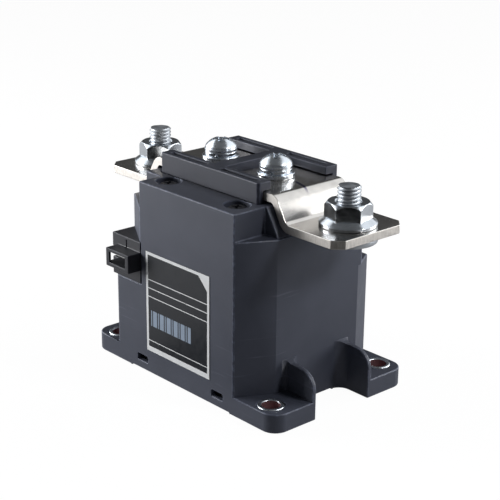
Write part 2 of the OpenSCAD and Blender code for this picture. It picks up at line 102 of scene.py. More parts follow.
def length(name, description, millimetres):
    """A size that a user can change."""
    return FloatProperty(name=name, description=description, default=millimetres * MM,
                         min=0.0, precision=5, unit="LENGTH", subtype="DISTANCE")


def colour(name, description, red, green, blue):
    """A colour that a user can change."""
    return FloatVectorProperty(name=name, description=description, default=tone(red, green, blue),
                               size=4, min=0.0, max=1.0, subtype="COLOR")


class ContactorSizes(bpy.types.PropertyGroup):
    """Sizes of the details that are added to the solids."""
    case_edge: length("Case edge", "Rounding along the edges of the moulded case", 0.45)
    block_edge: length("Block edge", "Rounding along the edges of the terminal block", 0.35)
    connector_edge: length("Connector edge", "Rounding along the edges of the coil connector", 0.3)
    plate_edge: length("Plate edge", "Rounding along the sheared edges of the busbars", 0.25)
    fastener_edge: length("Fastener edge", "Rounding along the edges of nuts, screws and washers", 0.2)
    thread_pitch: length("Thread pitch", "Pitch of the stud thread", 1.25)
    thread_depth: length("Thread depth", "Depth of the stud thread", 0.55)
    nut_width: length("Nut width", "Width of the nuts across their flats", 13.9)
    recess_width: length("Recess width", "Width of one slot of the terminal screws' cross recess", 2.0)
    pen_width: length("Pen width", "Width of the pen mark on the right busbar", 1.1)
    border: length("Label border", "Width of the pale border of the label", 1.1)
    rule: length("Label rule", "Width of the thin rules on the label", 0.32)


class ContactorColours(bpy.types.PropertyGroup):
    """Colours of the finishes."""
    case: colour("Case", "Moulded case", 72, 76, 89)
    block: colour("Terminal block", "Moulded terminal block", 55, 58, 70)
    connector: colour("Connector", "Coil connector", 48, 49, 55)
    base: colour("Base plate", "Base plate and its hooks", 62, 63, 70)
    label: colour("Label film", "Dark film of the label", 32, 35, 41)
    print: colour("Label print", "Pale print of the label", 240, 242, 244)
    bars: colour("Label bars", "Bluish bars of the label", 150, 166, 186)
    nickel: colour("Nickel", "Plating of the busbars", 206, 202, 197)
    ink: colour("Ink", "Pen mark on the right busbar", 52, 46, 104)
    zinc: colour("Zinc", "Plating of nuts, studs, screws and washers", 205, 210, 216)
    black: colour("Black screws", "Screws of the case", 52, 53, 57)


def settings(context):
    """The sizes and colours that the operators work with."""
    return context.scene.contactor_sizes, context.scene.contactor_colours


# Finishes

def shade(base, factor):
    """A lighter or darker shade of a colour."""
    return tuple(min(1.0, part * factor) for part in base[:3]) + (1.0,)


def feed(tree, socket, value):
    """Links a socket's value, or sets it where it is plain."""
    if isinstance(value, bpy.types.NodeSocket):
        tree.links.new(value, socket)
    else:
        socket.default_value = value


def start_finish(name):
    """A new material, its nodes and its shader."""
    material = bpy.data.materials.new(name)
    material.use_nodes = True
    tree = material.node_tree
    return material, tree, tree.nodes["Principled BSDF"]


def speckle(tree, scale, detail, stretch=(1.0, 1.0, 1.0), turn=(0.0, 0.0, 0.0)):
    """Noise fixed to the piece, with its patches per metre and a share of that along each axis."""
    place = tree.nodes.new("ShaderNodeTexCoord")
    lay = tree.nodes.new("ShaderNodeMapping")
    noise = tree.nodes.new("ShaderNodeTexNoise")
    lay.inputs["Rotation"].default_value = turn
    lay.inputs["Scale"].default_value = stretch
    noise.inputs["Scale"].default_value = scale
    noise.inputs["Detail"].default_value = detail
    tree.links.new(place.outputs["Object"], lay.inputs["Vector"])
    tree.links.new(lay.outputs["Vector"], noise.inputs["Vector"])
    return noise.outputs["Fac"]


def graded(tree, value, low, high, first=0.0, last=1.0):
    """Maps low to high onto first to last, and stops at both ends."""
    step = tree.nodes.new("ShaderNodeMapRange")
    for name, number in (("From Min", low), ("From Max", high), ("To Min", first), ("To Max", last)):
        step.inputs[name].default_value = number
    tree.links.new(value, step.inputs["Value"])
    return step.outputs["Result"]


def product(tree, first, second):
    """One share of another."""
    node = tree.nodes.new("ShaderNodeMath")
    node.operation = "MULTIPLY"
    feed(tree, node.inputs[0], first)
    feed(tree, node.inputs[1], second)
    return node.outputs["Value"]


def two_tone(tree, share, first, second):
    """A colour between two, each a plain colour or a socket."""
    node = tree.nodes.new("ShaderNodeMix")
    node.data_type = "RGBA"
    feed(tree, node.inputs[0], share)
    feed(tree, node.inputs[6], first)
    feed(tree, node.inputs[7], second)
    return node.outputs[2]


def white_share(tree, camera, glossy):
    """How much of the white background shows to the camera, and how much in reflections."""
    rays = tree.nodes.new("ShaderNodeLightPath")
    total = 0.0
    for kind, share in (("Camera", camera), ("Glossy", glossy), ("Transmission", camera)):
        node = tree.nodes.new("ShaderNodeMath")
        node.operation = "MULTIPLY_ADD"
        tree.links.new(rays.outputs[f"Is {kind} Ray"], node.inputs[0])
        node.inputs[1].default_value = share
        feed(tree, node.inputs[2], total)
        total = node.outputs["Value"]
    return total


def tint(tree, shader, share, base, first, last):
    """Colours the surface between two shades of one colour."""
    mixed = two_tone(tree, share, shade(base, first), shade(base, last))
    tree.links.new(mixed, shader.inputs["Base Color"])


def sheen(tree, shader, noise, low, high):
    """Lets the roughness drift between two values."""
    tree.links.new(graded(tree, noise, *NOISE_SPAN, low, high), shader.inputs["Roughness"])


def relief(tree, shader, value, height, strength):
    """Adds a fine relief to the surface."""
    bump = tree.nodes.new("ShaderNodeBump")
    bump.inputs["Strength"].default_value = strength
    bump.inputs["Distance"].default_value = height
    tree.links.new(value, bump.inputs["Height"])
    tree.links.new(bump.outputs["Normal"], shader.inputs["Normal"])


def moulded(name, base, roughness, wear_and_highlight=0.0):
    """Moulded plastic with close tones, an eroded grain and thin rub marks, or pale along edges: partly
    wear, partly a painted highlight.
    """
    material, tree, shader = start_finish(name)
    shader.inputs["Specular IOR Level"].default_value = 0.35
    cloud = graded(tree, speckle(tree, scale=70, detail=4), *NOISE_SPAN)
    plastic = two_tone(tree, cloud, shade(base, 0.92), shade(base, 1.08))
    streaks = speckle(tree, scale=40, detail=2, stretch=(1.0, 1.0, 22.0), turn=(0.5, 0.7, 0.0))
    streaks = graded(tree, streaks, 0.63, 0.7, 0.0, 0.5)
    patches = graded(tree, speckle(tree, scale=45, detail=1), 0.54, 0.64)
    plastic = two_tone(tree, product(tree, streaks, patches), plastic, shade(base, 1.9))
    if wear_and_highlight:
        # The edge is painted paler all along, with paler nicks: partly wear, partly a painted highlight on
        # the rounded edges
        nicks_and_highlight = graded(tree, speckle(tree, scale=600, detail=4), 0.45, 0.66, 0.35 * wear_and_highlight, wear_and_highlight)
        plastic = two_tone(tree, nicks_and_highlight, plastic, shade(base, 4.0))
    tree.links.new(plastic, shader.inputs["Base Color"])
    sheen(tree, shader, speckle(tree, scale=120, detail=3), roughness - 0.05, roughness + 0.06)
    relief(tree, shader, speckle(tree, scale=2600, detail=2), 0.015 * MM, 0.5)
    return material


def plated(name, base, roughness, brush=(1.0, 1.0, 1.0)):
    """Plated metal: a thin brushed grain, and a sheen that drifts from place to place."""
    material, tree, shader = start_finish(name)
    shader.inputs["Metallic"].default_value = 1.0
    stain = graded(tree, speckle(tree, scale=160, detail=5), 0.35, 0.7)
    tint(tree, shader, stain, base, 1.04, 0.86)
    drift = speckle(tree, scale=420, detail=4, stretch=brush)
    sheen(tree, shader, drift, roughness * 0.75, roughness * 1.35)
    relief(tree, shader, speckle(tree, scale=2200, detail=3, stretch=brush), 0.004 * MM, 0.6)
    return material


def pen_mark(material, start, end, width, ink):
    """Draws a pen stroke on the top of a finished piece, from one point to another."""
    tree = material.node_tree
    base = tree.nodes["Principled BSDF"].inputs["Base Color"]
    run = end - start
    place = tree.nodes.new("ShaderNodeTexCoord")
    lay = tree.nodes.new("ShaderNodeMapping")
    lay.vector_type = "TEXTURE"
    lay.inputs["Location"].default_value = start
    lay.inputs["Rotation"].default_value = (0.0, 0.0, math.atan2(run.y, run.x))
    parts = tree.nodes.new("ShaderNodeSeparateXYZ")
    aside = tree.nodes.new("ShaderNodeMath")
    aside.operation = "ABSOLUTE"
    tree.links.new(place.outputs["Object"], lay.inputs["Vector"])
    tree.links.new(lay.outputs["Vector"], parts.inputs["Vector"])
    tree.links.new(parts.outputs["Y"], aside.inputs[0])
    along = parts.outputs["X"]
    height = parts.outputs["Z"]
    share = graded(tree, aside.outputs["Value"], 0.35 * width, 0.6 * width, 1.0, 0.0)
    share = product(tree, share, graded(tree, along, 0.0, width))
    share = product(tree, share, graded(tree, along, run.length - 3 * width, run.length, 1.0, 0.0))
    share = product(tree, share, graded(tree, height, -3.0 * width, -2.7 * width))
    tree.links.new(two_tone(tree, share, base.links[0].from_socket, ink), base)


def sheared(name, base):
    """Cut edge of a plate: pale, torn in fine grains across its thickness."""
    material, tree, shader = start_finish(name)
    shader.inputs["Metallic"].default_value = 1.0
    grains = speckle(tree, scale=1500, detail=5, stretch=(1.0, 1.0, 0.35))
    tint(tree, shader, graded(tree, grains, 0.35, 0.65), base, 0.86, 1.06)
    sheen(tree, shader, grains, 0.42, 0.62)
    relief(tree, shader, grains, 0.05 * MM, 0.5)
    return material


def printed(name, base, roughness):
    """Film or ink of the label, with a faint tooth."""
    material, tree, shader = start_finish(name)
    shader.inputs["Specular IOR Level"].default_value = 0.4
    drift = graded(tree, speckle(tree, scale=220, detail=4), *NOISE_SPAN)
    tint(tree, shader, drift, base, 0.93, 1.05)
    sheen(tree, shader, speckle(tree, scale=500, detail=3), roughness - 0.06, roughness + 0.06)
    relief(tree, shader, speckle(tree, scale=3000, detail=2), 0.006 * MM, 0.4)
    return material


def plain_solid(name, base, roughness, metallic=0.0, grain_scale=900):
    """Finish of the sealed inner pieces: mottled, with a grain of its own scale."""
    material, tree, shader = start_finish(name)
    shader.inputs["Metallic"].default_value = metallic
    mottle = graded(tree, speckle(tree, scale=grain_scale / 4, detail=4), *NOISE_SPAN)
    tint(tree, shader, mottle, base, 0.85, 1.12)
    drift = speckle(tree, scale=grain_scale / 2, detail=3)
    sheen(tree, shader, drift, roughness - 0.08, roughness + 0.08)
    relief(tree, shader, speckle(tree, scale=grain_scale, detail=3), 0.02 * MM, 0.6)
    return material


def wound(name, base, wire):
    """Enamelled wire in close turns along Z."""
    material, tree, shader = start_finish(name)
    shader.inputs["Metallic"].default_value = 0.8
    shader.inputs["Roughness"].default_value = 0.35
    place = tree.nodes.new("ShaderNodeTexCoord")
    turns = tree.nodes.new("ShaderNodeTexWave")
    turns.bands_direction = "Z"
    # A wave runs through 20 radians in a length of one over its scale
    turns.inputs["Scale"].default_value = math.tau / (20 * wire)
    turns.inputs["Distortion"].default_value = 0.4
    tree.links.new(place.outputs["Object"], turns.inputs["Vector"])
    tint(tree, shader, turns.outputs["Fac"], base, 0.45, 1.1)
    relief(tree, shader, turns.outputs["Fac"], wire / 2, 0.8)
    return material


# Modelling

def only(piece):
    """Makes one object the whole selection."""
    bpy.ops.object.select_all(action="DESELECT")
    piece.select_set(True)
    bpy.context.view_layer.objects.active = piece


def open_mesh(piece, kind="FACE"):
    """Starts edit mode with the whole mesh selected."""
    only(piece)
    bpy.ops.object.mode_set(mode="EDIT")
    bpy.ops.mesh.select_mode(type=kind)
    bpy.ops.mesh.select_all(action="SELECT")


def close_mesh():
    """Ends edit mode."""
    bpy.ops.object.mode_set(mode="OBJECT")


def apply_last(piece):
    """Applies the newest modifier."""
    only(piece)
    bpy.ops.object.modifier_apply(modifier=piece.modifiers[-1].name)


def soften(piece, width, segments=3, edge_slot=-1, spared=None):
    """Rounds the sharp edges, apart from those with an end at a spared place, and keeps flat faces flat."""
    open_mesh(piece, "EDGE")
    bpy.ops.mesh.select_all(action="DESELECT")
    bpy.ops.mesh.edges_select_sharp(sharpness=SHARP)
    close_mesh()
    mesh = piece.data
    if spared:
        for edge in mesh.edges:
            if edge.select and any(spared(mesh.vertices[end].co) for end in edge.vertices):
                edge.select = False
        for vertex in mesh.vertices:
            vertex.select = False
        for face in mesh.polygons:
            face.select = False
    bpy.ops.object.mode_set(mode="EDIT")
    bpy.ops.mesh.bevel(offset=width, segments=segments, affect="EDGES", material=edge_slot,
                       miter_outer="ARC", clamp_overlap=False)
    bpy.ops.mesh.select_all(action="SELECT")
    bpy.ops.mesh.remove_doubles(threshold=WELD)
    close_mesh()
    bpy.ops.object.shade_smooth_by_angle(angle=SHARP)
    normals = piece.modifiers.new("normals", "WEIGHTED_NORMAL")
    normals.keep_sharp = True
    apply_last(piece)


def from_solid(node, name):
    """A new piece with the form of a CAD node: its triangles are merged into whole flat faces."""
    piece = bpy.data.objects.new(name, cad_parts[node].data.copy())
    bpy.context.scene.collection.objects.link(piece)
    piece.data.name = name
    piece.data.materials.clear()
    open_mesh(piece)
    bpy.ops.mesh.remove_doubles(threshold=WELD)
    bpy.ops.mesh.dissolve_limited(angle_limit=FLAT)
    close_mesh()
    return piece


def turned(name, outline, ring=False):
    """A round piece about Z through (radius, height) points: solid, or a ring joined to its start."""
    radius, height = outline[0]
    bpy.ops.object.select_all(action="DESELECT")
    fill = "NOTHING" if ring else "NGON"
    bpy.ops.mesh.primitive_circle_add(vertices=SIDES, radius=radius, fill_type=fill)
    piece = bpy.context.object
    piece.name = piece.data.name = name
    open_mesh(piece, "EDGE" if ring else "FACE")
    bpy.ops.transform.translate(value=(0.0, 0.0, height))
    for next_radius, next_height in outline[1:]:
        if ring:
            bpy.ops.mesh.extrude_edges_move()
        else:
            bpy.ops.mesh.extrude_region_move()
        grow = next_radius / radius
        bpy.ops.transform.resize(value=(grow, grow, 1.0), center_override=(0.0, 0.0, 0.0))
        bpy.ops.transform.translate(value=(0.0, 0.0, next_height - height))
        radius, height = next_radius, next_height
    bpy.ops.mesh.select_all(action="SELECT")
    if ring:
        bpy.ops.mesh.region_to_loop()
        bpy.ops.mesh.bridge_edge_loops()
        bpy.ops.mesh.select_all(action="SELECT")
    bpy.ops.mesh.normals_make_consistent(inside=False)
    close_mesh()
    return piece


def block(name, size, centre, turn=0.0, lean=0.0):
    """A box of that size, leaned about X and turned about Z, used to cut or to start a piece."""
    bpy.ops.object.select_all(action="DESELECT")
    bpy.ops.mesh.primitive_cube_add(size=1.0, location=centre, rotation=(lean, 0.0, turn), scale=size)
    piece = bpy.context.object
    piece.name = piece.data.name = name
    bpy.ops.object.transform_apply(location=True, rotation=True, scale=True)
    return piece


def combine(piece, tool, operation):
    """Adds the tool, cuts it away, or keeps what lies in it."""
    join = piece.modifiers.new("combine", "BOOLEAN")
    join.operation = operation
    join.solver = "EXACT"
    join.object = tool
    apply_last(piece)
    bpy.data.objects.remove(tool)


def thread(name, radius, pitch, depth, bottom, top):
    """A threaded rod about Z: one pitch of its outline is wound up, then trimmed flat and chamfered."""
    root = radius - depth
    crest = pitch / 16
    chamfer = 0.45 * MM
    rise = [(root, 0.0), (root, pitch / 8), (radius, pitch / 2 - crest), (radius, pitch / 2 + crest),
            (root, pitch * 7 / 8), (root, pitch)]
    start = bottom - 1.6 * pitch
    points = [(r, 0.0, start + z) for r, z in rise]
    mesh = bpy.data.meshes.new(name)
    mesh.from_pydata(points, [(i, i + 1) for i in range(len(points) - 1)], [])
    piece = bpy.data.objects.new(name, mesh)
    bpy.context.scene.collection.objects.link(piece)
    only(piece)
    wind = piece.modifiers.new("wind", "SCREW")
    wind.screw_offset = pitch
    wind.iterations = math.ceil((top - start) / pitch) + 1
    wind.steps = wind.render_steps = THREAD_STEPS
    apply_last(piece)
    open_mesh(piece)
    bpy.ops.mesh.remove_doubles(threshold=THREAD_WELD)
    bpy.ops.mesh.bisect(plane_co=(0.0, 0.0, bottom), plane_no=UP, clear_inner=True)
    bpy.ops.mesh.select_all(action="SELECT")
    bpy.ops.mesh.bisect(plane_co=(0.0, 0.0, top), plane_no=UP, clear_outer=True)
    bpy.ops.mesh.select_all(action="SELECT")
    bpy.ops.mesh.remove_doubles(threshold=THREAD_WELD)
    bpy.ops.mesh.fill_holes(sides=0)
    bpy.ops.mesh.select_all(action="SELECT")
    bpy.ops.mesh.normals_make_consistent(inside=False)
    close_mesh()
    for vertex in piece.data.vertices:
        reach = vertex.co.xy.length
        limit = radius - chamfer + (top - vertex.co.z)
        if reach > limit:
            vertex.co.xy *= limit / reach
    return piece


def cross_recess(piece, width, span, depth, top, turn):
    """Cuts a cross recess into the head of a screw, narrower towards its bottom."""
    bottom_share = 0.72
    for angle in (turn, turn + math.pi / 2):
        slot = block("recess", (span, width, 2 * depth), (0.0, 0.0, top), angle)
        for vertex in slot.data.vertices:
            if vertex.co.z < top:
                vertex.co.xy *= bottom_share
        combine(piece, slot, "DIFFERENCE")


def copy_to(piece, name, places):
    """Puts the piece, and a copy of its own for each further place, at those places."""
    pieces = [piece]
    for _ in places[1:]:
        twin = piece.copy()
        twin.data = piece.data.copy()
        bpy.context.scene.collection.objects.link(twin)
        pieces.append(twin)
    for part, (label, where) in zip(pieces, places):
        part.name = part.data.name = f"{name}_{label}"
        part.location = where
        only(part)
        bpy.ops.object.transform_apply(location=True, rotation=True, scale=True)
    return pieces


def finish_slots(piece, *materials):
    """Gives the piece its finishes, in order."""
    for material in materials:
        piece.data.materials.append(material)


def mount(pieces, node, body="case"):
    """The pieces ride on a body and stand for a CAD node."""
    for piece in pieces:
        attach(piece, body)
        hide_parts(node)


def solid_boxes(node, axes):
    """Boxes of a node's separate solids, told apart by the signs of their places along the axes."""
    groups = {}
    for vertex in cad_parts[node].data.vertices:
        key = tuple(1 if vertex.co[axis] > 0 else -1 for axis in axes)
        groups.setdefault(key, []).append(vertex.co)
    corners = {}
    for key, points in groups.items():
        low = Vector(min(p[i] for p in points) for i in range(3))
        high = Vector(max(p[i] for p in points) for i in range(3))
        corners[key] = low, high
    return corners


SIDE_NAMES = {(-1,): "left", (1,): "right"}
CORNER_NAMES = {(-1, -1): "front_left", (1, -1): "front_right", (-1, 1): "back_left", (1, 1): "back_right"}


def places_of(node, names):
    """Where each solid of a node stands: its label, and the middle of its foot."""
    axes = range(len(next(iter(names))))
    places = []
    for key, (low, high) in sorted(solid_boxes(node, axes).items()):
        places.append((names[key], Vector(((low.x + high.x) / 2, (low.y + high.y) / 2, low.z))))
    return places


# Pieces

class CONTACTOR_OT_case(bpy.types.Operator):
    """Moulded case with rounded edges, painted pale along them: partly wear, partly a painted highlight"""
    bl_idname = "contactor.case"
    bl_label = "Case"
    bl_options = {"REGISTER", "UNDO"}

    def execute(self, context):
        sizes, colours = settings(context)
        case = from_solid("housing", "case_shell")
        # The second finish goes on the rounded edges: paler, partly wear and partly a painted highlight
        finish_slots(case, moulded("case plastic", colours.case, 0.5),
                     moulded("case edge", colours.case, 0.42, wear_and_highlight=0.5))
        end_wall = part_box("terminal_block")[1].x + 6.5 * MM
        rib_reach = 8 * MM
        rib_foot = 4 * MM
        rib_top = 27 * MM
        rib_side = 26 * MM

        def by_rib(point):
            beside = 0.0 < abs(point.x) - end_wall < rib_reach and abs(point.y) < rib_side
            return beside and rib_foot < point.z < rib_top

        soften(case, sizes.case_edge, edge_slot=1, spared=by_rib)
        for vertex in case.data.vertices:
            vertex.co.z = max(vertex.co.z, 0.0)
        mount([case], "housing")
        return {"FINISHED"}


class CONTACTOR_OT_terminal_block(bpy.types.Operator):
    """Terminal block with its two wells"""
    bl_idname = "contactor.terminal_block"
    bl_label = "Terminal block"
    bl_options = {"REGISTER", "UNDO"}

    def execute(self, context):
        sizes, colours = settings(context)
        wells = from_solid("terminal_block", "block_moulding")
        # The second finish goes on the rounded edges: paler, partly wear and partly a painted highlight
        finish_slots(wells, moulded("block plastic", colours.block, 0.5),
                     moulded("block edge", colours.block, 0.42, wear_and_highlight=0.35))
        soften(wells, sizes.block_edge, edge_slot=1)
        mount([wells], "terminal_block")
        return {"FINISHED"}


class CONTACTOR_OT_connector(bpy.types.Operator):
    """Coil connector with its latch frame"""
    bl_idname = "contactor.connector"
    bl_label = "Coil connector"
    bl_options = {"REGISTER", "UNDO"}

    def execute(self, context):
        sizes, colours = settings(context)
        shell = from_solid("coil_connector", "connector_shell")
        # The rounded edges get a lighter copy of the connector plastic: a painted highlight, with a little
        # wear
        finish_slots(shell, moulded("connector plastic", colours.connector, 0.45),
                     moulded("connector edge", shade(colours.connector, 1.4), 0.4, wear_and_highlight=0.15))
        soften(shell, sizes.connector_edge, edge_slot=1)
        mount([shell], "coil_connector")
        return {"FINISHED"}


class CONTACTOR_OT_busbars(bpy.types.Operator):
    """Joggled busbars, bright on their faces and torn along their sheared edges"""
    bl_idname = "contactor.busbars"
    bl_label = "Busbars"
    bl_options = {"REGISTER", "UNDO"}

    def execute(self, context):
        sizes, colours = settings(context)
        pen_start = 23.4 * MM, 0.4 * MM
        pen_end = 32.6 * MM, -2.4 * MM
        tip_length = 4 * MM
        cut = sheared("sheared nickel", colours.nickel)
        for side in ("left", "right"):
            node = "busbar_" + side
            low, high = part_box(node)
            plate = from_solid(node, "plate_" + side)
            bright = plated("nickel plate " + side, colours.nickel, 0.2, brush=(1.0, 0.15, 1.0))
            if side == "right":
                pen_mark(bright, Vector((*pen_start, high.z)), Vector((*pen_end, high.z)),
                         sizes.pen_width, colours.ink)
            finish_slots(plate, bright, cut)
            tip = max(low.x, high.x, key=abs)
            for face in plate.data.polygons:
                at_side = abs(face.normal.y) > 0.5
                at_tip = abs(face.normal.z) < 0.1 and abs(face.center.x - tip) < tip_length
                face.material_index = 1 if at_side or at_tip else 0
            soften(plate, sizes.plate_edge)
            mount([plate], node)
        return {"FINISHED"}


class CONTACTOR_OT_studs(bpy.types.Operator):
    """Studs with a wound thread and a round head under the plate"""
    bl_idname = "contactor.studs"
    bl_label = "Terminal studs"
    bl_options = {"REGISTER", "UNDO"}

    def execute(self, context):
        sizes, colours = settings(context)
        radius = 4.0 * MM
        sunk = 0.4 * MM
        zinc = plated("zinc studs", shade(colours.zinc, 0.75), 0.42)
        for side in ("left", "right"):
            node = "terminal_stud_" + side
            low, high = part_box(node)
            head_radius = (high.y - low.y) / 2
            head_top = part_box("busbar_" + side)[0].z
            head = turned("head", [(head_radius, low.z), (head_radius, head_top)])
            soften(head, 3 * sizes.fastener_edge)
            rod = thread("stud_" + side, radius, sizes.thread_pitch, sizes.thread_depth,
                         head_top - sunk, high.z)
            combine(rod, head, "UNION")
            open_mesh(rod)
            bpy.ops.mesh.fill_holes(sides=0)
            close_mesh()
            bpy.ops.object.shade_smooth_by_angle(angle=SHARP)
            finish_slots(rod, zinc)
            rod.location = ((low.x + high.x) / 2, 0.0, 0.0)
            bpy.ops.object.transform_apply(location=True)
            mount([rod], node)
        return {"FINISHED"}


class CONTACTOR_OT_nuts(bpy.types.Operator):
    """Hexagon nuts with a conical flange and a chamfered crown"""
    bl_idname = "contactor.nuts"
    bl_label = "Flange nuts"
    bl_options = {"REGISTER", "UNDO"}

    def execute(self, context):
        sizes, colours = settings(context)
        low, high = solid_boxes("flange_nuts", (0,))[(1,)]
        flat = sizes.nut_width / 2
        corner = flat / math.cos(math.pi / 6)
        tall = high.z - low.z
        turn = math.radians(13.5)
        rim = (high.y - low.y) / 2
        rim_edge = 0.35 * MM
        rim_top = 1.2 * MM
        cone_radius, cone_top = 7.5 * MM, 2.8 * MM
        bore_radius, mouth_radius = 4.15 * MM, 5.2 * MM
        mouth_half = 0.5 * MM
        spare = -1 * MM
        bpy.ops.object.select_all(action="DESELECT")
        bpy.ops.mesh.primitive_cylinder_add(vertices=6, radius=corner, depth=tall,
                                            location=(0.0, 0.0, tall / 2), rotation=(0.0, 0.0, turn))
        nut = bpy.context.object
        bpy.ops.object.transform_apply(location=True, rotation=True)
        crown = turned("crown", [(2 * flat, spare), (2 * flat, tall - 8 * MM),
                                 (flat * 0.98, tall + 0.08 * MM)])
        combine(nut, crown, "INTERSECT")
        flange = turned("flange", [(rim - rim_edge, 0.0), (rim, rim_edge), (rim, rim_top),
                                   (cone_radius, cone_top)])
        combine(nut, flange, "UNION")
        bore = turned("bore", [(bore_radius, spare), (bore_radius, tall - mouth_half),
                               (mouth_radius, tall + mouth_half)])
        combine(nut, bore, "DIFFERENCE")
        soften(nut, 0.6 * sizes.fastener_edge, 2)
        finish_slots(nut, plated("zinc nuts", colours.zinc, 0.2))
        mount(copy_to(nut, "nut", places_of("flange_nuts", SIDE_NAMES)), "flange_nuts")
        return {"FINISHED"}


class CONTACTOR_OT_terminal_screws(bpy.types.Operator):
    """Domed terminal screws with a cross recess"""
    bl_idname = "contactor.terminal_screws"
    bl_label = "Terminal screws"
    bl_options = {"REGISTER", "UNDO"}

    def execute(self, context):
        sizes, colours = settings(context)
        places = places_of("terminal_screws", SIDE_NAMES)
        low, high = solid_boxes("terminal_screws", (0,))[(1,)]
        tall = high.z - low.z
        shank = 3.0 * MM
        ball = 6.6 * MM
        rim = 5.8 * MM
        edge = 0.2 * MM
        groove = 0.35 * MM
        under = tall - 4.8 * MM
        collar = under + 1.35 * MM
        outline = [(shank, 0.0), (shank, under), (rim - edge, under), (rim, under + edge),
                   (rim, collar - 0.15 * MM), (rim - groove, collar), (rim - groove, collar + edge)]
        steps = 12
        centre = tall - ball
        first = math.asin((collar + groove - centre) / ball)
        last = math.pi / 2 * 0.985
        for step in range(steps + 1):
            angle = first + (last - first) * step / steps
            outline.append((ball * math.cos(angle), centre + ball * math.sin(angle)))
        screw = turned("screw", outline)
        cross_recess(screw, sizes.recess_width, span=8.0 * MM, depth=2.5 * MM, top=tall,
                     turn=math.radians(45))
        soften(screw, 0.7 * sizes.fastener_edge, 2)
        finish_slots(screw, plated("zinc screws", shade(colours.zinc, 1.2), 0.25))
        mount(copy_to(screw, "terminal_screw", places), "terminal_screws")
        return {"FINISHED"}


class CONTACTOR_OT_washers(bpy.types.Operator):
    """Flat washers, and split spring washers over them"""
    bl_idname = "contactor.washers"
    bl_label = "Washers"
    bl_options = {"REGISTER", "UNDO"}

    def execute(self, context):
        sizes, colours = settings(context)
        zinc = plated("zinc washers", shade(colours.zinc, 1.25), 0.22)
        for node, name, bore in (("terminal_flat_washers", "flat_washer", 3.3 * MM),
                                 ("terminal_spring_washers", "spring_washer", 3.2 * MM)):
            low, high = solid_boxes(node, (0,))[(1,)]
            rim = (high.y - low.y) / 2
            tall = high.z - low.z
            washer = turned(name, [(rim, 0.0), (rim, tall), (bore, tall), (bore, 0.0)], ring=True)
            if name == "spring_washer":
                middle = (rim + bore) / 2
                turn = math.radians(-60)
                place = middle * math.cos(turn), middle * math.sin(turn), tall / 2
                gap = block("gap", (4 * MM, 0.5 * MM, 6 * MM), place, turn, lean=math.radians(35))
                combine(washer, gap, "DIFFERENCE")
            soften(washer, 1.9 * sizes.fastener_edge, 4)
            finish_slots(washer, zinc)
            mount(copy_to(washer, name, places_of(node, SIDE_NAMES)), node)
        return {"FINISHED"}


class CONTACTOR_OT_bushes(bpy.types.Operator):
    """Bright bushes with rolled rims in the four feet"""
    bl_idname = "contactor.bushes"
    bl_label = "Mounting bushes"
    bl_options = {"REGISTER", "UNDO"}

    def execute(self, context):
        sizes, colours = settings(context)
        low, high = solid_boxes("mounting_bushes", (0, 1))[(1, 1)]
        rim = (high.x - low.x) / 2
        bore = 3.2 * MM
        tall = high.z - low.z
        bush = turned("bush", [(rim, 0.0), (rim, tall), (bore, tall), (bore, 0.0)], ring=True)
        soften(bush, 2.2 * sizes.fastener_edge, 4)
        finish_slots(bush, plated("bush steel", colours.zinc, 0.3),
                     plain_solid("bush bore", tone(146, 106, 110), 0.5, 0.5, grain_scale=700))
        for face in bush.data.polygons:
            out = Vector((face.center.x, face.center.y, 0.0)).normalized()
            face.material_index = 1 if face.normal.dot(out) < -0.9 else 0
        mount(copy_to(bush, "bush", places_of("mounting_bushes", CORNER_NAMES)),
              "mounting_bushes")
        return {"FINISHED"}


class CONTACTOR_OT_case_screws(bpy.types.Operator):
    """Black cross-recess screws down in the shoulders"""
    bl_idname = "contactor.case_screws"
    bl_label = "Case screws"
    bl_options = {"REGISTER", "UNDO"}

    def execute(self, context):
        sizes, colours = settings(context)
        low, high = solid_boxes("housing_screws", (0, 1))[(1, -1)]
        tall = high.z - low.z
        head = 2.3 * MM
        rim = (high.x - low.x) / 2
        shank = 2.0 * MM
        under = tall - head
        screw = turned("screw", [(shank, 0.0), (shank, under), (rim, under), (rim, under + 1.3 * MM),
                                 (rim - 0.4 * MM, under + 1.9 * MM), (rim - 1.3 * MM, tall)])
        cross_recess(screw, width=0.9 * MM, span=4.2 * MM, depth=1.5 * MM, top=tall, turn=math.radians(35))
        soften(screw, 0.6 * sizes.fastener_edge, 2)
        finish_slots(screw, plated("black screws", colours.black, 0.4))
        mount(copy_to(screw, "case_screw", places_of("housing_screws", CORNER_NAMES)),
              "housing_screws")
        return {"FINISHED"}


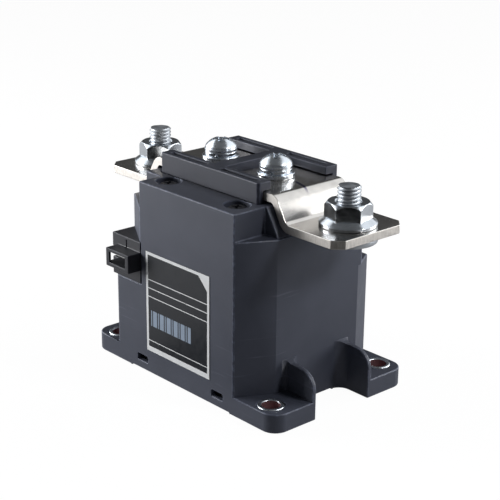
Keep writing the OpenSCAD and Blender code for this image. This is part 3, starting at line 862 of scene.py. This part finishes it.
class CONTACTOR_OT_label(bpy.types.Operator):
    """Bare label: a pale border, ruled rows and a field of plain bars"""
    bl_idname = "contactor.label"
    bl_label = "Label"
    bl_options = {"REGISTER", "UNDO"}

    def execute(self, context):
        sizes, colours = settings(context)
        low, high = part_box("rating_label")
        film = block("label_film", high - low, (low + high) / 2)
        bare, pale, bluish = range(3)
        finish_slots(film, printed("label film", colours.label, 0.38),
                     printed("label print", colours.print, 0.5), printed("label bars", colours.bars, 0.5))
        left, right = low.x + sizes.border, high.x - sizes.border
        top, foot = high.z - sizes.border, low.z + 1.9 * MM
        clip = 4.6 * MM
        half_rule = sizes.rule / 2
        rules = [high.z - drop * MM for drop in (10.3, 13.45, 16.65, 33.4)]
        rule_edges = [z + half for z in rules for half in (-half_rule, half_rule)]
        first_bar, last_bar = low.x + 2.6 * MM, low.x + 24.6 * MM
        bars_foot, bars_top = high.z - 27.6 * MM, high.z - 21.7 * MM
        bar = 0.55 * MM
        bar_edges = [first_bar + k * bar for k in range(round((last_bar - first_bar) / bar) + 1)]

        def cut(point, normal):
            bpy.ops.mesh.select_all(action="SELECT")
            bpy.ops.mesh.bisect(plane_co=point, plane_no=normal)

        open_mesh(film)
        for x in [left, right] + bar_edges:
            cut((x, 0.0, 0.0), (1.0, 0.0, 0.0))
        for z in [top, foot, bars_foot, bars_top] + rule_edges:
            cut((0.0, 0.0, z), (0.0, 0.0, 1.0))
        cut((right - clip, 0.0, top), (1.0, 0.0, 1.0))
        close_mesh()

        def ink(x, z):
            if not (left < x < right and foot < z < top):
                return pale
            if (x - (right - clip)) + (z - top) > 0:
                return pale
            if any(abs(z - rule) < half_rule for rule in rules):
                return pale
            if first_bar < x < last_bar and bars_foot < z < bars_top:
                step = int((x - first_bar) / bar)
                return bluish if (step * step) % 7 not in (1, 5) else bare
            return bare

        for face in film.data.polygons:
            face.material_index = ink(face.center.x, face.center.z) if face.normal.y < -0.5 else bare
        mount([film], "rating_label")
        return {"FINISHED"}


class CONTACTOR_OT_springs(bpy.types.Operator):
    """Springs of the drive, each riding on the case or on the armature"""
    bl_idname = "contactor.springs"
    bl_label = "Springs"
    bl_options = {"REGISTER", "UNDO"}

    def execute(self, context):
        wire = plain_solid("spring wire", tone(168, 170, 172), 0.28, 1.0)
        for node, name, body, joint, seat in (
                ("return_spring", "return_coil", "case", "armature_slide", 1),
                ("contact_spring", "contact_coil", "armature", "contact_slide", 0)):
            coil = from_solid(node, name)
            only(coil)
            bpy.ops.object.shade_smooth_by_angle(angle=math.radians(40))
            finish_slots(coil, wire)
            mount([coil], node, body)
            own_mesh(coil)
        return {"FINISHED"}


class CONTACTOR_OT_inside(bpy.types.Operator):
    """Finishes of the base plate and of the sealed drive, contacts and arc chamber"""
    bl_idname = "contactor.inside"
    bl_label = "Inside"
    bl_options = {"REGISTER", "UNDO"}

    def execute(self, context):
        colours = context.scene.contactor_colours
        copper = plain_solid("bare copper", tone(190, 120, 82), 0.3, 1.0)
        iron = plain_solid("soft iron", tone(150, 152, 156), 0.38, 1.0)
        dressed = {
            moulded("base plastic", colours.base, 0.5): ["base_plate"],
            plain_solid("tinned pins", tone(196, 192, 184), 0.25, 1.0): ["connector_pins"],
            plain_solid("lead insulation", tone(150, 38, 34), 0.45): ["coil_leads"],
            copper: ["fixed_contact_left", "fixed_contact_right", "moving_contact_bridge"],
            plain_solid("alumina", tone(232, 230, 222), 0.55): ["arc_chamber"],
            plain_solid("flange alloy", tone(160, 160, 155), 0.33, 1.0): [
                "chamber_flange", "plunger_sleeve"],
            plain_solid("magnet", tone(78, 78, 82), 0.5, 0.6): ["blowout_magnets"],
            iron: ["magnet_yoke", "plunger", "fixed_core", "yoke_frame", "yoke_plate", "shaft"],
            plain_solid("clip steel", tone(168, 170, 172), 0.28, 1.0): ["spring_seat", "retaining_clip"],
            plain_solid("rubber", tone(28, 28, 28), 0.7): ["damper_pad"],
            plain_solid("bobbin plastic", tone(222, 216, 200), 0.5): ["bobbin"],
            wound("coil wire", tone(176, 96, 54), wire=0.4 * MM): ["coil_winding"],
        }
        for material, nodes in dressed.items():
            for node in nodes:
                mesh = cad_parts[node].data
                mesh.materials.clear()
                mesh.materials.append(material)
        return {"FINISHED"}


# Stage

class CONTACTOR_OT_stage(bpy.types.Operator):
    """Pale floor, soft lights from the left and the right, cards for the reflections, and the camera"""
    bl_idname = "contactor.stage"
    bl_label = "Stage"
    bl_options = {"REGISTER", "UNDO"}

    def execute(self, context):
        scene = context.scene
        scene.view_settings.view_transform = "Standard"
        middle = (Vector(CAD_BOX[0]) + Vector(CAD_BOX[1])) / 2
        self.floor()
        self.world(scene)
        self.card("front card", (0.22, -0.26, 0.002), Vector((0.22, -0.26, 1.0)), (0.5, 0.44), glow=0.005)
        self.card("left card", (-0.66, -0.3, 0.4), middle, (0.95, 0.85), glow=1.8)
        self.card("right card", (0.24, 0.66, 0.4), middle, (1.2, 1.08), glow=1.25)
        self.card("top card", (0.0, 0.0, 0.9), middle, (1.2, 1.2), glow=0.12)
        self.soft_light("left light", (-0.52, -0.365, 0.177), middle, (0.4, 0.3), power=4.3)
        self.soft_light("right light", (0.29, 0.56, 0.17), middle, (0.4, 0.3), power=2.4)
        self.soft_light("key light", (0.482, 0.175, 0.44), middle, (0.11, 0.11), power=1.15)
        self.camera(scene)
        return {"FINISHED"}

    def floor(self):
        """Paper under the part, which is white to the camera and keeps a soft shadow."""
        bpy.ops.object.select_all(action="DESELECT")
        bpy.ops.mesh.primitive_plane_add(size=6.0)
        floor = bpy.context.object
        floor.name = "floor"
        material, tree, shader = start_finish("floor paper")
        shader.inputs["Base Color"].default_value = tone(160, 160, 162)
        shader.inputs["Roughness"].default_value = 0.9
        glow = tree.nodes.new("ShaderNodeEmission")
        glow.inputs["Strength"].default_value = 1.15
        mix = tree.nodes.new("ShaderNodeMixShader")
        tree.links.new(white_share(tree, camera=0.84, glossy=0.25), mix.inputs[0])
        tree.links.new(shader.outputs["BSDF"], mix.inputs[1])
        tree.links.new(glow.outputs["Emission"], mix.inputs[2])
        tree.links.new(mix.outputs["Shader"], tree.nodes["Material Output"].inputs["Surface"])
        floor.data.materials.append(material)

    def world(self, scene):
        """A dim room, which is white to the camera."""
        scene.world = bpy.data.worlds.new("studio")
        scene.world.use_nodes = True
        tree = scene.world.node_tree
        tree.nodes.clear()
        room = tree.nodes.new("ShaderNodeBackground")
        room.inputs["Color"].default_value = (0.93, 0.96, 1.0, 1.0)
        room.inputs["Strength"].default_value = 0.05
        white = tree.nodes.new("ShaderNodeBackground")
        white.inputs["Color"].default_value = (1.0, 1.0, 1.0, 1.0)
        mix = tree.nodes.new("ShaderNodeMixShader")
        out = tree.nodes.new("ShaderNodeOutputWorld")
        tree.links.new(white_share(tree, camera=1.0, glossy=0.03), mix.inputs[0])
        tree.links.new(room.outputs["Background"], mix.inputs[1])
        tree.links.new(white.outputs["Background"], mix.inputs[2])
        tree.links.new(mix.outputs["Shader"], out.inputs["Surface"])

    def card(self, name, place, aim, size, glow):
        """A card that only reflections see, lit or near black."""
        bpy.ops.object.select_all(action="DESELECT")
        bpy.ops.mesh.primitive_plane_add(size=1.0, location=place)
        card = bpy.context.object
        card.name = name
        card.rotation_euler = (aim - Vector(place)).to_track_quat("Z", "Y").to_euler()
        card.scale = (size[0], size[1], 1.0)
        material, _, shader = start_finish(name)
        shader.inputs["Base Color"].default_value = (0.0, 0.0, 0.0, 1.0)
        shader.inputs["Specular IOR Level"].default_value = 0.0
        shader.inputs["Emission Color"].default_value = (0.94, 0.97, 1.0, 1.0)
        shader.inputs["Emission Strength"].default_value = glow
        card.data.materials.append(material)
        card.visible_camera = False
        card.visible_diffuse = False
        card.visible_shadow = False
        card.visible_transmission = False

    def soft_light(self, name, place, aim, size, power):
        """A soft lamp that the camera doesn't see, turned to a point."""
        bpy.ops.object.select_all(action="DESELECT")
        bpy.ops.object.light_add(type="AREA", location=place)
        light = bpy.context.object
        light.name = name
        light.data.shape = "RECTANGLE"
        light.data.size, light.data.size_y = size
        light.data.energy = power
        light.rotation_euler = (aim - Vector(place)).to_track_quat("-Z", "Y").to_euler()
        light.visible_camera = False

    def camera(self, scene):
        """Camera at the viewing angle of the reference picture, taken as square."""
        bpy.ops.object.select_all(action="DESELECT")
        bpy.ops.object.camera_add(location=(0.3357, -0.30249, 0.20385))
        camera = bpy.context.object
        yaw, pitch, roll = math.radians(47.84), math.radians(19.43), math.radians(0.62)
        turn = (Matrix.Rotation(yaw, 4, "Z") @ Matrix.Rotation(math.pi / 2 - pitch, 4, "X")
                @ Matrix.Rotation(roll, 4, "Z"))
        camera.rotation_euler = turn.to_euler()
        camera.data.sensor_width = 36.0
        camera.data.lens = 96.65
        scene.camera = camera


# Panel and registration

class CONTACTOR_PT_panel(bpy.types.Panel):
    """Lists the pieces of the contactor"""
    bl_label = "Contactor"
    bl_space_type = "VIEW_3D"
    bl_region_type = "UI"
    bl_category = "Contactor"

    def draw(self, context):
        for operator in OPERATORS:
            self.layout.operator(operator.bl_idname)
        for group in settings(context):
            for name in group.__annotations__:
                self.layout.prop(group, name)


OPERATORS = (
    CONTACTOR_OT_case,
    CONTACTOR_OT_terminal_block,
    CONTACTOR_OT_connector,
    CONTACTOR_OT_busbars,
    CONTACTOR_OT_studs,
    CONTACTOR_OT_nuts,
    CONTACTOR_OT_terminal_screws,
    CONTACTOR_OT_washers,
    CONTACTOR_OT_bushes,
    CONTACTOR_OT_case_screws,
    CONTACTOR_OT_label,
    CONTACTOR_OT_springs,
    CONTACTOR_OT_inside,
    CONTACTOR_OT_stage,
)
CLASSES = (ContactorSizes, ContactorColours, *OPERATORS, CONTACTOR_PT_panel)


def register():
    for item in CLASSES:
        bpy.utils.register_class(item)
    bpy.types.Scene.contactor_sizes = PointerProperty(type=ContactorSizes)
    bpy.types.Scene.contactor_colours = PointerProperty(type=ContactorColours)


def unregister():
    del bpy.types.Scene.contactor_colours
    del bpy.types.Scene.contactor_sizes
    for item in reversed(CLASSES):
        bpy.utils.unregister_class(item)


def main():
    register()
    for operator in OPERATORS:
        group, name = operator.bl_idname.split(".")
        getattr(getattr(bpy.ops, group), name)()


if __name__ == "__main__":
    main()
